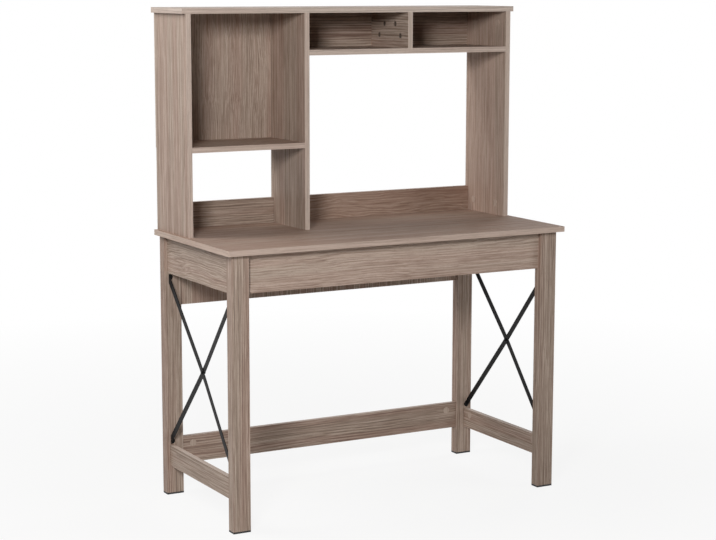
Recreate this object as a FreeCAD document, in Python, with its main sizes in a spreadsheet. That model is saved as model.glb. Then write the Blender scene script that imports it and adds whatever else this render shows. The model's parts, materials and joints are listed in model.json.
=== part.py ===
import FreeCAD, Part
import os
import re
import Sketcher

# A writing desk with a bookcase on its top. Millimetres, +Z up, +Y to the back, +X to the right.
# The origin is on the floor, under the middle of the whole object.

SIZES = [
    ("desktop_width", "1050", "width of the desktop and of the bookcase top"),
    ("desktop_depth", "490", "depth of the desktop"),
    ("desktop_height", "760", "height of the desktop's upper face"),
    ("board_thickness", "15", "thickness of every board"),
    ("side_overhang", "16", "desktop past the legs at each side"),
    ("front_overhang", "18", "desktop past the front legs"),
    ("leg_width", "50", "leg along X"),
    ("leg_depth", "30", "leg along Y"),
    ("foot_height", "5", "thickness of a foot pad"),
    ("apron_height", "105", "height of the front and side aprons"),
    ("rear_panel_height", "200", "height of the panel between the rear legs"),
    ("stretcher_rise", "85", "floor to the underside of the stretchers"),
    ("side_stretcher_height", "58", "height of a side stretcher"),
    ("rear_stretcher_height", "78", "height of the rear stretcher"),
    ("front_apron_inset", "14.5", "front apron behind the faces of the front legs"),
    ("side_rail_inset", "9.5", "side rails inside the outer faces of the legs"),
    ("rear_rail_inset", "7.5", "rear rails in front of the backs of the legs"),
    ("hutch_inset", "10", "bookcase sides inside the ends of its top"),
    ("hutch_depth", "212", "depth of the bookcase"),
    ("hutch_side_height", "600", "height of the bookcase sides"),
    ("left_bay_width", "340", "clear width of the left bay"),
    ("lower_cubby_height", "229", "desktop to the underside of the middle shelf"),
    ("upper_cubby_height", "101", "upper shelf to the underside of the top"),
    ("back_board_height", "72", "height of the low back boards"),
    ("panel_thickness", "3", "thickness of the thin back panels"),
    ("brace_width", "16", "width of a flat brace bar"),
    ("brace_thickness", "2", "thickness of a flat brace bar"),
    ("brace_inset", "12.5", "ends of the bars inside the outer faces of the legs"),
    ("brace_end_offset", "17", "middle of a bar's end from the rail beside it"),
    ("brace_bow", "7", "both braces toward +X at their crossing"),
    ("brace_screw_gap", "0.5", "between an ear screw's head and the bar beside it"),
    ("brace_bolt_diameter", "5", "shank of the bolt through a brace crossing"),
    ("brace_bolt_clearance", "0.3", "brace bolt holes, wider than the shank"),
    ("brace_bolt_head_diameter", "9", "head of a brace bolt"),
    ("brace_bolt_head_height", "2.8", "height of a brace bolt's head"),
    ("brace_bolt_tail", "1.5", "brace bolt past its nut"),
    ("nut_flats", "8", "brace nut across its flats"),
    ("nut_height", "4", "height of a brace nut"),
    ("screw_diameter", "3.5", "shank of a wood screw"),
    ("screw_length", "16", "wood screw below its head"),
    ("screw_head_diameter", "7", "head of a wood screw"),
    ("screw_head_height", "2", "height of a wood screw's head"),
    ("screw_recess", "0.6", "foot screw heads above the floor"),
    ("bore_clearance", "0.2", "screw, thread, dowel and nail holes, wider than what they hold"),
    ("cam_diameter", "14.6", "cam lock"),
    ("cam_clearance", "0.4", "cam bores, wider than the cams"),
    ("cam_floor", "2.5", "wood left under a cam bore"),
    ("cam_recess", "0.5", "cam below the board's face"),
    ("cover_diameter", "20", "stick-on cover over a cam"),
    ("cover_thickness", "1", "thickness of a cam cover"),
    ("bolt_reach", "34", "cam centre to the mating face"),
    ("bolt_shank_diameter", "7", "plain shank of a cam bolt"),
    ("bolt_neck_diameter", "4", "neck of a cam bolt, behind its head"),
    ("bolt_head_diameter", "6.4", "head of a cam bolt"),
    ("bolt_head_length", "2.4", "length of a cam bolt's head"),
    ("bolt_shoulder_gap", "1", "shank end to the cam"),
    ("thread_diameter", "5", "thread of a cam bolt"),
    ("thread_cover", "4", "wood left past a thread hole"),
    ("thread_tip_gap", "0.5", "thread tip to the end of its hole"),
    ("dowel_diameter", "8", "wood dowel"),
    ("dowel_edge_depth", "20", "dowel in a board's end"),
    ("dowel_cover", "5", "wood left past a dowel hole"),
    ("nail_diameter", "1.8", "shank of a panel nail"),
    ("nail_length", "18", "panel nail below its head"),
    ("nail_head_diameter", "5", "head of a panel nail"),
    ("nail_head_height", "0.8", "height of a panel nail's head"),
    ("front_cam_setback", "45", "bookcase front to its front row of cams"),
    ("rear_cam_setback", "47", "bookcase back to its rear row of cams"),
    ("divider_cam_shift", "29", "upper cams of the short divider, inward of the lower ones"),
]

# Shares of the height of a rail's end, counted from its underside.
RAIL_CAM_SHARE = 0.72
RAIL_DOWEL_SHARE = 0.28
# The two low back boards meet the divider from both sides, so their holes are staggered.
BACK_BOARD_CAM_SHARE = 0.75
BACK_BOARD_DOWEL_SHARE = 0.35
BACK_BOARD_STAGGER_SHARE = 0.2
# Shares of a rail's length, for what holds the desktop.
DESKTOP_FIXING_SHARES = (0.2, 0.8)
# Shares of a panel's width or height, for its nails.
LEFT_PANEL_ROW_SHARES = (0.08, 0.36, 0.64, 0.92)
RIGHT_PANEL_ROW_SHARES = (0.04, 0.27, 0.73, 0.96)
LEFT_PANEL_COLUMN_SHARES = (0.35, 0.65)
RIGHT_PANEL_COLUMN_SHARES = (0.5,)
# The two panels meet on the divider's back edge, so each has its nails in its own half of it.
DIVIDER_LEFT_NAIL_SHARE = 0.25
DIVIDER_RIGHT_NAIL_SHARE = 0.75
# Shares of a head's width and height, for the cross in it.
CROSS_LENGTH_SHARE = 0.62
CROSS_WIDTH_SHARE = 0.14
CROSS_DEPTH_SHARE = 0.5
# Share of a cam's height, for the cross in it.
CAM_CROSS_DEPTH_SHARE = 0.12
# Shares of a diameter, for a dowel's bevelled end, a cover's bevelled rim and a pointed tip.
DOWEL_BEVEL_SHARE = 0.12
COVER_BEVEL_SHARE = 0.02
TIP_SHARE = 1.2

# Directions, as a sign and an axis. They name faces of a board too.
RIGHT = "+x"
LEFT = "-x"
BACK = "+y"
FRONT = "-y"
UP = "+z"
DOWN = "-z"
# The origin plane square to each axis, and the way its normal points.
AXIS_PLANES = ("YZ_Plane", "XZ_Plane", "XY_Plane")
PLANE_NORMALS = (RIGHT, FRONT, UP)

doc = FreeCAD.newDocument("DeskWithBookcase")
sheet = doc.addObject("Spreadsheet::Sheet", "Sizes")
for row, (alias, number, meaning) in enumerate(SIZES, start=1):
    sheet.set(f"A{row}", meaning)
    sheet.set(f"B{row}", number)
    sheet.setAlias(f"B{row}", alias)
doc.recompute()
ALIASES = {alias for alias, number, meaning in SIZES}

# Derived sizes and places, as expressions of the sheet's sizes.
HALF_WIDTH = "(desktop_width / 2)"
HALF_DEPTH = "((desktop_depth + panel_thickness + nail_head_height) / 2)"
BACK_Y = f"(desktop_depth - {HALF_DEPTH})"
UNDER_DESKTOP = "(desktop_height - board_thickness)"
LEG_OUTER = f"({HALF_WIDTH} - side_overhang)"
LEG_INNER = f"({LEG_OUTER} - leg_width)"
FRONT_LEG_Y = f"(front_overhang - {HALF_DEPTH})"
SIDE_START_Y = f"({FRONT_LEG_Y} + leg_depth)"
REAR_LEG_Y = f"({BACK_Y} - leg_depth)"
SIDE_SPAN = f"({REAR_LEG_Y} - {SIDE_START_Y})"
FRONT_SPAN = f"(2 * {LEG_INNER})"
APRON_Z = f"({UNDER_DESKTOP} - apron_height)"
SIDE_STRETCHER_TOP = "(stretcher_rise + side_stretcher_height)"
HUTCH_OUTER = f"({HALF_WIDTH} - hutch_inset)"
HUTCH_INNER = f"({HUTCH_OUTER} - board_thickness)"
HUTCH_Y = f"({BACK_Y} - hutch_depth)"
HUTCH_TOP_Z = "(desktop_height + hutch_side_height)"
DIVIDER_X = f"(left_bay_width - {HUTCH_INNER})"
DIVIDER_MIDDLE_X = f"({DIVIDER_X} + board_thickness / 2)"
RIGHT_BAY_X = f"({DIVIDER_X} + board_thickness)"
RIGHT_BAY_WIDTH = f"({HUTCH_INNER} - {RIGHT_BAY_X})"
MIDDLE_SHELF_Z = "(desktop_height + lower_cubby_height)"
UPPER_SHELF_Z = f"({HUTCH_TOP_Z} - upper_cubby_height - board_thickness)"
FRONT_CAM_Y = f"({HUTCH_Y} + front_cam_setback)"
REAR_CAM_Y = f"({BACK_Y} - rear_cam_setback)"
MIDDLE_CAM_Y = f"(({FRONT_CAM_Y} + {REAR_CAM_Y}) / 2)"

# Joint sizes. The cam bolt lies in the middle of its board's thickness.
CAM_BORE = "(cam_diameter + cam_clearance)"
CAM_BORE_DEPTH = "(board_thickness - cam_floor)"
CAM_HEIGHT = f"({CAM_BORE_DEPTH} - cam_recess)"
CAM_BOLT_LEVEL = "(board_thickness / 2 - cam_floor)"
CHANNEL_BORE = "(bolt_shank_diameter + bore_clearance)"
THREAD_BORE = "(thread_diameter + bore_clearance)"
THREAD_DEPTH = "(board_thickness - thread_cover)"
DOWEL_BORE = "(dowel_diameter + bore_clearance)"
DOWEL_FACE_DEPTH = "(board_thickness - dowel_cover)"
NAIL_BORE = "(nail_diameter + bore_clearance)"
SCREW_BORE = "(screw_diameter + bore_clearance)"
FOOT_RECESS = "(screw_head_height + screw_recess)"

# Brace sizes. The bars run from fold to fold between the legs, at the angle of their rise.
# An ear is as high as its fold. Its round end starts level with the fold's end.
LOWER_FOLD_Z = f"({SIDE_STRETCHER_TOP} + brace_end_offset)"
BRACE_RISE = f"({APRON_Z} - {SIDE_STRETCHER_TOP} - 2 * brace_end_offset)"
BRACE_LENGTH = f"sqrt({SIDE_SPAN}^2 + {BRACE_RISE}^2)"
BRACE_COS = f"({SIDE_SPAN} / {BRACE_LENGTH})"
BRACE_SIN = f"({BRACE_RISE} / {BRACE_LENGTH})"
BRACE_CUT = f"(brace_width / {BRACE_COS})"
EAR_RADIUS = "(brace_width / 2)"
EAR_CENTRE = f"({EAR_RADIUS} * (1 - {BRACE_COS}) / {BRACE_SIN})"
EAR_REACH = f"({EAR_CENTRE} + {EAR_RADIUS})"
EAR_SCREW = "(brace_thickness + screw_head_diameter / 2 + brace_screw_gap)"
EAR_SCREW_LIFT = f"({BRACE_CUT} / 2 - {EAR_RADIUS})"
BRACE_BOLT_BORE = "(brace_bolt_diameter + brace_bolt_clearance)"


def bound(expression):
    """The expression with each size's name pointing at its cell in the sheet."""
    def cell(match):
        word = match.group(0)
        return f"Sizes.{word}" if word in ALIASES else word
    return re.sub(r"[A-Za-z_]\w*", cell, expression)


def value(expression):
    """The expression's number in millimetres."""
    return float(sheet.evalExpression(bound(expression)))


def bind(target, name, expression):
    """Tie one property of an object to the sheet."""
    target.setExpression(name, bound(expression))


def axis_of(direction):
    return "xyz".index(direction[1])


def faces_up_axis(direction):
    return direction[0] == "+"


def opposite(direction):
    return ("-" if faces_up_axis(direction) else "+") + direction[1]


def unit(direction):
    vector = [0, 0, 0]
    vector[axis_of(direction)] = 1 if faces_up_axis(direction) else -1
    return FreeCAD.Vector(*vector)


def moved(point, direction, distance):
    """A point of three expressions, moved a distance along a direction."""
    axis = axis_of(direction)
    target = list(point)
    target[axis] = f"({point[axis]} {direction[0]} {distance})"
    return target


def new_sketch(body, name, plane, offset):
    """A sketch on one of the body's own origin planes, shifted by three expressions."""
    sketch = body.newObject("Sketcher::SketchObject", name)
    origin_plane = [item for item in body.Origin.OriginFeatures if item.Role == plane][0]
    sketch.AttachmentSupport = [(origin_plane, "")]
    sketch.MapMode = "FlatFace"
    for letter, expression in zip("xyz", offset):
        bind(sketch, f"AttachmentOffset.Base.{letter}", expression)
    return sketch


def pin_point(sketch, item, end, place):
    """Tie one point of a sketch to two distances from the sketch's origin."""
    for kind, expression in zip(("DistanceX", "DistanceY"), place):
        number = sketch.addConstraint(Sketcher.Constraint(kind, -1, 1, item, end, value(expression)))
        bind(sketch, f"Constraints[{number}]", expression)


def outline_sketch(body, name, plane, offset, points, arc_start=None, arc_through=None, arc_centre=None):
    """A closed outline through the points. The side that leaves point arc_start can be an arc.

    The arc passes through arc_through, and arc_centre is how far its centre is from the origin along X.
    """
    sketch = new_sketch(body, name, plane, offset)
    corners = [FreeCAD.Vector(value(x), value(y), 0) for x, y in points]
    ends = []
    for index, start in enumerate(corners):
        stop = corners[(index + 1) % len(corners)]
        if index == arc_start:
            middle = FreeCAD.Vector(value(arc_through[0]), value(arc_through[1]), 0)
            item = sketch.addGeometry(Part.Arc(start, middle, stop), False)
            first_end = sketch.getPoint(item, 1)
            forward = first_end.distanceToPoint(start) < first_end.distanceToPoint(stop)
            ends.append((1, 2) if forward else (2, 1))
        else:
            sketch.addGeometry(Part.LineSegment(start, stop), False)
            ends.append((1, 2))
    for item, (_, stop_end) in enumerate(ends):
        following = (item + 1) % len(ends)
        start_end = ends[following][0]
        sketch.addConstraint(Sketcher.Constraint("Coincident", item, stop_end, following, start_end))
    for item, place in enumerate(points):
        pin_point(sketch, item, ends[item][0], place)
    if arc_start is not None:
        number = sketch.addConstraint(
            Sketcher.Constraint("DistanceX", -1, 1, arc_start, 3, value(arc_centre)))
        bind(sketch, f"Constraints[{number}]", arc_centre)
    return sketch


def rectangle_sketch(body, name, plane, offset, width, height):
    points = [("0", "0"), (width, "0"), (width, height), ("0", height)]
    return outline_sketch(body, name, plane, offset, points)


def circle_sketch(body, name, plane, offset, centres, diameter):
    """Equal circles, each centre tied to its place from the sketch's origin."""
    sketch = new_sketch(body, name, plane, offset)
    radius = value(diameter) / 2
    for item, place in enumerate(centres):
        centre = FreeCAD.Vector(value(place[0]), value(place[1]), 0)
        sketch.addGeometry(Part.Circle(centre, FreeCAD.Vector(0, 0, 1), radius), False)
        pin_point(sketch, item, 3, place)
        if item:
            sketch.addConstraint(Sketcher.Constraint("Equal", 0, item))
    number = sketch.addConstraint(Sketcher.Constraint("Diameter", 0, 2 * radius))
    bind(sketch, f"Constraints[{number}]", diameter)
    return sketch


def pad(body, sketch, length, backwards=False):
    feature = body.newObject("PartDesign::Pad", "Pad")
    feature.Profile = sketch
    feature.Reversed = backwards
    bind(feature, "Length", length)
    doc.recompute()


def pocket(body, sketch, depth, backwards=False):
    """Cut a sketch into the body, and make sure that the cut took something away."""
    before = body.Shape.Volume
    feature = body.newObject("PartDesign::Pocket", "Pocket")
    feature.Profile = sketch
    feature.Reversed = backwards
    bind(feature, "Length", depth)
    doc.recompute()
    if not body.Shape.Volume < before:
        raise RuntimeError(f"{body.Label}: {sketch.Label} cuts nothing")


class Board:
    """A straight board with drilled holes. Its own origin is its least corner."""

    def __init__(self, label, corner, size):
        self.corner = corner
        self.size = size
        self.holes = {}
        self.body = doc.addObject("PartDesign::Body", label)
        for letter, expression in zip("xyz", corner):
            bind(self.body, f"Placement.Base.{letter}", expression)
        sketch = rectangle_sketch(self.body, "Outline", "XY_Plane", ("0", "0", "0"), size[0], size[1])
        pad(self.body, sketch, size[2])

    def at(self, axis, share):
        """The place on an axis at a share of the board's size."""
        return f"({self.corner[axis]} + {share} * {self.size[axis]})"

    def face_level(self, face):
        """The place of a face on its own axis."""
        return self.at(axis_of(face), 1 if faces_up_axis(face) else 0)

    def edge_point(self, direction, along, place):
        """The point of an end face in the middle of the thickness, at a place on one axis."""
        point = [self.at(axis, 0.5) for axis in range(3)]
        point[axis_of(direction)] = self.face_level(direction)
        point[along] = place
        return point

    def hole(self, face, diameter, depth, point):
        """Note a hole in a face, centred at a point given in the object's frame."""
        self.holes.setdefault((face, diameter, depth), []).append(point)

    def drill(self):
        """Cut the noted holes, all equal holes of a face at once."""
        for (face, diameter, depth), points in self.holes.items():
            axis = axis_of(face)
            across = [other for other in range(3) if other != axis]
            centres = [[f"({point[other]} - {self.corner[other]})" for other in across] for point in points]
            normal = PLANE_NORMALS[axis]
            level = f"({normal[0]}{self.size[axis]})" if faces_up_axis(face) else "0"
            plane = AXIS_PLANES[axis]
            sketch = circle_sketch(self.body, "Holes", plane, ("0", "0", level), centres, diameter)
            pocket(self.body, sketch, depth, face != normal)


boards = []
groups = {}


def new_board(label, corner, size):
    board = Board(label, corner, size)
    boards.append(board)
    return board


def put(group, pattern, point, toward, across):
    """Place a copy of a fastener: its own Z points toward, its own X across."""
    z_axis = unit(toward)
    x_axis = unit(across)
    rotation = FreeCAD.Rotation(x_axis, z_axis.cross(x_axis), z_axis, "ZXY")
    place = FreeCAD.Vector(*[value(expression) for expression in point])
    shape = pattern.Shape.copy()
    shape.Placement = FreeCAD.Placement(place, rotation)
    groups.setdefault(group, []).append(shape)


def turned_body(label, points, start):
    """A body turned round Z, from its radius and height points, with its lowest point at start."""
    body = doc.addObject("PartDesign::Body", label)
    sketch = outline_sketch(body, "Profile", "XZ_Plane", ("0", start, "0"), points)
    feature = body.newObject("PartDesign::Revolution", "Turning")
    feature.Profile = sketch
    feature.ReferenceAxis = (sketch, ["V_Axis"])
    feature.Angle = 360
    doc.recompute()
    return body


def cut_cross(body, level, diameter, depth, backwards):
    """A cross recess in a head's flat face, at a level on the body's own Z."""
    length = f"({diameter} * {CROSS_LENGTH_SHARE})"
    width = f"({diameter} * {CROSS_WIDTH_SHARE})"
    for long_side, short_side in ((length, width), (width, length)):
        offset = (f"(-{long_side} / 2)", f"(-{short_side} / 2)", level)
        sketch = rectangle_sketch(body, "Cross", "XY_Plane", offset, long_side, short_side)
        pocket(body, sketch, depth, backwards)


def cam_body():
    """A cam lock on its bore's floor: a drum with a slot for the bolt's neck and head, facing +X."""
    body = doc.addObject("PartDesign::Body", "cam_lock_pattern")
    drum = circle_sketch(body, "Drum", "XY_Plane", ("0", "0", "0"), [("0", "0")], "cam_diameter")
    pad(body, drum, CAM_HEIGHT)
    head_slot = "(bolt_head_diameter + bore_clearance)"
    neck_slot = "(bolt_neck_diameter + bore_clearance)"
    head_start = "(-(bolt_head_length / 2 + bore_clearance))"
    low_y = f"(-{head_slot} / 2)"
    low_z = f"({CAM_BOLT_LEVEL} - {head_slot} / 2)"
    width = f"({head_slot} / 2 + cam_diameter / 2)"
    sketch = rectangle_sketch(body, "HeadSlot", "YZ_Plane", (low_y, low_z, head_start), width, head_slot)
    pocket(body, sketch, "(bolt_head_length + bore_clearance)", True)
    low_y = f"(-{neck_slot} / 2)"
    low_z = f"({CAM_BOLT_LEVEL} - {neck_slot} / 2)"
    width = f"({neck_slot} / 2 + cam_diameter / 2)"
    sketch = rectangle_sketch(body, "NeckSlot", "YZ_Plane", (low_y, low_z, "0"), width, neck_slot)
    pocket(body, sketch, "(cam_diameter / 2)", True)
    cut_cross(body, CAM_HEIGHT, "cam_diameter", f"({CAM_HEIGHT} * {CAM_CROSS_DEPTH_SHARE})", False)
    return body


def cam_bolt_body():
    """A cam bolt: its shoulder is at its own origin, its thread above and its head below."""
    lengths = [
        ("(bolt_head_diameter / 2)", "bolt_head_length"),
        ("(bolt_neck_diameter / 2)", "(cam_diameter / 2 - bolt_head_length / 2 + bolt_shoulder_gap)"),
        ("(bolt_shank_diameter / 2)", "(bolt_reach - cam_diameter / 2 - bolt_shoulder_gap)"),
        ("(thread_diameter / 2)", f"({THREAD_DEPTH} - thread_tip_gap)"),
    ]
    points = [("0", "0")]
    height = "0"
    for radius, length in lengths:
        points.append((radius, height))
        height = f"({height} + {length})"
        points.append((radius, height))
    points.append(("0", height))
    return turned_body("cam_bolt_pattern", points, "(-(bolt_reach + bolt_head_length / 2))")


def dowel_body():
    """A dowel with bevelled ends, its own origin where the two boards meet."""
    radius = "(dowel_diameter / 2)"
    bevel = f"(dowel_diameter * {DOWEL_BEVEL_SHARE})"
    length = f"(dowel_edge_depth + {DOWEL_FACE_DEPTH})"
    points = [
        ("0", "0"),
        (f"({radius} - {bevel})", "0"),
        (radius, bevel),
        (radius, f"({length} - {bevel})"),
        (f"({radius} - {bevel})", length),
        ("0", length),
    ]
    return turned_body("dowel_pattern", points, "(-dowel_edge_depth)")


def cover_body():
    """A stick-on cam cover: a thin disc with a bevelled rim."""
    radius = "(cover_diameter / 2)"
    bevel = f"(cover_diameter * {COVER_BEVEL_SHARE})"
    points = [
        ("0", "0"),
        (radius, "0"),
        (radius, f"(cover_thickness - {bevel})"),
        (f"({radius} - {bevel})", "cover_thickness"),
        ("0", "cover_thickness"),
    ]
    return turned_body("cam_cover_pattern", points, "0")


def pointed_body(label, head_diameter, head_height, diameter, length):
    """A nail or a wood screw: the head's underside is at its own origin, the point along +Z."""
    tip = f"({diameter} * {TIP_SHARE})"
    points = [
        ("0", "0"),
        (f"({head_diameter} / 2)", "0"),
        (f"({head_diameter} / 2)", head_height),
        (f"({diameter} / 2)", head_height),
        (f"({diameter} / 2)", f"({head_height} + {length} - {tip})"),
        ("0", f"({head_height} + {length})"),
    ]
    return turned_body(label, points, f"(-{head_height})")


def nail_body():
    return pointed_body(
        "panel_nail_pattern", "nail_head_diameter", "nail_head_height", "nail_diameter", "nail_length")


def screw_body():
    body = pointed_body(
        "wood_screw_pattern", "screw_head_diameter", "screw_head_height", "screw_diameter", "screw_length")
    depth = f"(screw_head_height * {CROSS_DEPTH_SHARE})"
    cut_cross(body, "(-screw_head_height)", "screw_head_diameter", depth, True)
    return body


def brace_bolt_body():
    """The bolt of a brace crossing: head below its own origin, shank along +Z."""
    head_radius = "(brace_bolt_head_diameter / 2)"
    radius = "(brace_bolt_diameter / 2)"
    top = "(brace_bolt_head_height + 2 * brace_thickness + nut_height + brace_bolt_tail)"
    points = [
        ("0", "0"),
        (head_radius, "0"),
        (head_radius, "brace_bolt_head_height"),
        (radius, "brace_bolt_head_height"),
        (radius, top),
        ("0", top),
    ]
    body = turned_body("brace_bolt_pattern", points, "(-brace_bolt_head_height)")
    depth = f"(brace_bolt_head_height * {CROSS_DEPTH_SHARE})"
    cut_cross(body, "(-brace_bolt_head_height)", "brace_bolt_head_diameter", depth, True)
    return body


def brace_nut_body():
    """A hexagon nut, its seat at its own origin and its bore along +Z."""
    body = doc.addObject("PartDesign::Body", "brace_nut_pattern")
    corner_radius = "(nut_flats / sqrt(3))"
    points = [
        (f"({corner_radius} / 2)", "0"),
        (f"({corner_radius} * 3 / 2)", "0"),
        (f"({corner_radius} * 2)", "(nut_flats / 2)"),
        (f"({corner_radius} * 3 / 2)", "nut_flats"),
        (f"({corner_radius} / 2)", "nut_flats"),
        ("0", "(nut_flats / 2)"),
    ]
    offset = (f"(-{corner_radius})", "(-nut_flats / 2)", "0")
    pad(body, outline_sketch(body, "Hexagon", "XY_Plane", offset, points), "nut_height")
    bore = "(brace_bolt_diameter + bore_clearance)"
    sketch = circle_sketch(body, "Bore", "XY_Plane", ("0", "0", "0"), [("0", "0")], bore)
    pocket(body, sketch, "nut_height", True)
    return body


cam_lock = cam_body()
cam_bolt = cam_bolt_body()
dowel = dowel_body()
cam_cover = cover_body()
panel_nail = nail_body()
wood_screw = screw_body()
brace_bolt = brace_bolt_body()
brace_nut = brace_nut_body()


def cam_joint(group, board, mate, direction, cam_face, along, place, covered=True):
    """Hold a board's end to a mate: a cam in the board pulls on a bolt that is screwed into the mate."""
    point = board.edge_point(direction, along, place)
    centre = moved(point, opposite(direction), "bolt_reach")
    board.hole(cam_face, CAM_BORE, CAM_BORE_DEPTH, centre)
    board.hole(direction, CHANNEL_BORE, "bolt_reach", point)
    mate.hole(opposite(direction), THREAD_BORE, THREAD_DEPTH, point)
    floor_point = moved(centre, opposite(cam_face), CAM_BOLT_LEVEL)
    put(f"{group}_cam_locks", cam_lock, floor_point, cam_face, direction)
    put(f"{group}_cam_bolts", cam_bolt, point, direction, cam_face)
    if covered:
        face_point = list(centre)
        face_point[axis_of(cam_face)] = board.face_level(cam_face)
        put(f"{group}_cam_covers", cam_cover, face_point, cam_face, direction)


def dowel_joint(group, board, mate, direction, along, place):
    """Line a board's end up with a mate by a dowel."""
    point = board.edge_point(direction, along, place)
    board.hole(direction, DOWEL_BORE, "dowel_edge_depth", point)
    mate.hole(opposite(direction), DOWEL_BORE, DOWEL_FACE_DEPTH, point)
    put(f"{group}_dowels", dowel, point, direction, RIGHT if direction in (UP, DOWN) else UP)


def rail_end(board, mate, direction, cam_face):
    """One cam and one dowel in a rail's end."""
    cam_joint("desk", board, mate, direction, cam_face, 2, board.at(2, RAIL_CAM_SHARE))
    dowel_joint("desk", board, mate, direction, 2, board.at(2, RAIL_DOWEL_SHARE))


def hutch_edge(board, mate, direction, cam_face, covered=True, shift="0"):
    """Two cams and a dowel between them, in the end of a bookcase board."""
    front_place = f"({FRONT_CAM_Y} + {shift})"
    rear_place = f"({REAR_CAM_Y} - {shift})"
    cam_joint("hutch", board, mate, direction, cam_face, 1, front_place, covered)
    cam_joint("hutch", board, mate, direction, cam_face, 1, rear_place, covered)
    dowel_joint("hutch", board, mate, direction, 1, MIDDLE_CAM_Y)


def low_x(sign, outer, width):
    """The least X of a piece whose outer face is a distance from the middle, at either side."""
    return f"(-{outer})" if sign < 0 else f"({outer} - {width})"


def build_leg(label, sign, leg_y):
    """A leg on its foot pad, with the screw that holds the pad."""
    leg_x = low_x(sign, LEG_OUTER, "leg_width")
    leg_size = ("leg_width", "leg_depth", f"({UNDER_DESKTOP} - foot_height)")
    leg = new_board(f"{label}_leg", (leg_x, leg_y, "foot_height"), leg_size)
    foot = new_board(f"{label}_foot_pad", (leg_x, leg_y, "0"), ("leg_width", "leg_depth", "foot_height"))
    seat = (foot.at(0, 0.5), foot.at(1, 0.5), FOOT_RECESS)
    foot.hole(DOWN, SCREW_BORE, "foot_height", seat)
    foot.hole(DOWN, "(screw_head_diameter + bore_clearance)", FOOT_RECESS, seat)
    leg.hole(DOWN, SCREW_BORE, f"(screw_length - foot_height + {FOOT_RECESS})", seat)
    put("foot_screws", wood_screw, seat, UP, RIGHT)
    return leg


def build_side_rail(label, sign, z, height, front_leg, rear_leg):
    """A rail along Y between the legs of one side, its cams on its inner face."""
    x = low_x(sign, f"({LEG_OUTER} - side_rail_inset)", "board_thickness")
    rail = new_board(label, (x, SIDE_START_Y, z), ("board_thickness", SIDE_SPAN, height))
    inner_face = RIGHT if sign < 0 else LEFT
    rail_end(rail, front_leg, FRONT, inner_face)
    rail_end(rail, rear_leg, BACK, inner_face)
    return rail


def build_cross_rail(label, y, z, height, left_leg, right_leg, cam_face):
    """A rail along X between the left and the right leg."""
    rail = new_board(label, (f"(-{LEG_INNER})", y, z), (FRONT_SPAN, "board_thickness", height))
    rail_end(rail, left_leg, LEFT, cam_face)
    rail_end(rail, right_leg, RIGHT, cam_face)
    return rail


def build_desk():
    """The desktop on its four legs and seven rails."""
    desktop = new_board(
        "desktop",
        (f"(-{HALF_WIDTH})", f"(-{HALF_DEPTH})", UNDER_DESKTOP),
        ("desktop_width", "desktop_depth", "board_thickness"))
    legs = {}
    for side, sign in (("left", -1), ("right", 1)):
        for end, leg_y in (("front", FRONT_LEG_Y), ("rear", REAR_LEG_Y)):
            legs[end, side] = build_leg(f"{end}_{side}", sign, leg_y)
        front_leg, rear_leg = legs["front", side], legs["rear", side]
        apron = build_side_rail(f"{side}_side_apron", sign, APRON_Z, "apron_height", front_leg, rear_leg)
        build_side_rail(
            f"{side}_side_stretcher", sign, "stretcher_rise", "side_stretcher_height", front_leg, rear_leg)
        for share in DESKTOP_FIXING_SHARES:
            dowel_joint("desk", apron, desktop, UP, 1, apron.at(1, share))
    front_y = f"({FRONT_LEG_Y} + front_apron_inset)"
    rear_y = f"({BACK_Y} - rear_rail_inset - board_thickness)"
    rear_panel_z = f"({UNDER_DESKTOP} - rear_panel_height)"
    front_legs = (legs["front", "left"], legs["front", "right"])
    rear_legs = (legs["rear", "left"], legs["rear", "right"])
    front_apron = build_cross_rail("front_apron", front_y, APRON_Z, "apron_height", *front_legs, BACK)
    rear_panel = build_cross_rail("rear_panel", rear_y, rear_panel_z, "rear_panel_height", *rear_legs, FRONT)
    build_cross_rail("rear_stretcher", rear_y, "stretcher_rise", "rear_stretcher_height", *rear_legs, FRONT)
    for share in DESKTOP_FIXING_SHARES:
        cam_joint("desk", front_apron, desktop, UP, BACK, 0, front_apron.at(0, share))
        cam_joint("desk", rear_panel, desktop, UP, FRONT, 0, rear_panel.at(0, share))
    return desktop, legs


def build_ear(body, sign, at_back, at_top, fold_z):
    """A rounded ear at a bar's end, folded inward and flat on the leg, with its screw hole."""
    def across(expression):
        return expression if sign < 0 else f"({EAR_REACH} - {expression})"

    def height(expression):
        return expression if at_top else f"({BRACE_CUT} - {expression})"

    level = f"(-{SIDE_SPAN})" if at_back else "0"
    offset = (across("0") if sign < 0 else f"(-{EAR_REACH})", f"({fold_z} - {BRACE_CUT} / 2)", level)
    points = [
        (across("0"), height("0")),
        (across(f"({EAR_CENTRE} + {EAR_RADIUS} * {BRACE_SIN})"),
         height(f"({BRACE_CUT} - {EAR_RADIUS} * (1 + {BRACE_COS}))")),
        (across(EAR_CENTRE), height(BRACE_CUT)),
        (across("0"), height(BRACE_CUT)),
    ]
    middle_height = height(f"({BRACE_CUT} - {EAR_RADIUS})")
    far_point = (across(EAR_REACH), middle_height)
    ear = outline_sketch(body, "Ear", "XZ_Plane", offset, points, 1, far_point, across(EAR_CENTRE))
    pad(body, ear, "brace_thickness", not at_back)
    screw_place = [(across(EAR_SCREW), middle_height)]
    hole = circle_sketch(body, "EarHole", "XZ_Plane", offset, screw_place, SCREW_BORE)
    pocket(body, hole, "brace_thickness", at_back)


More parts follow.
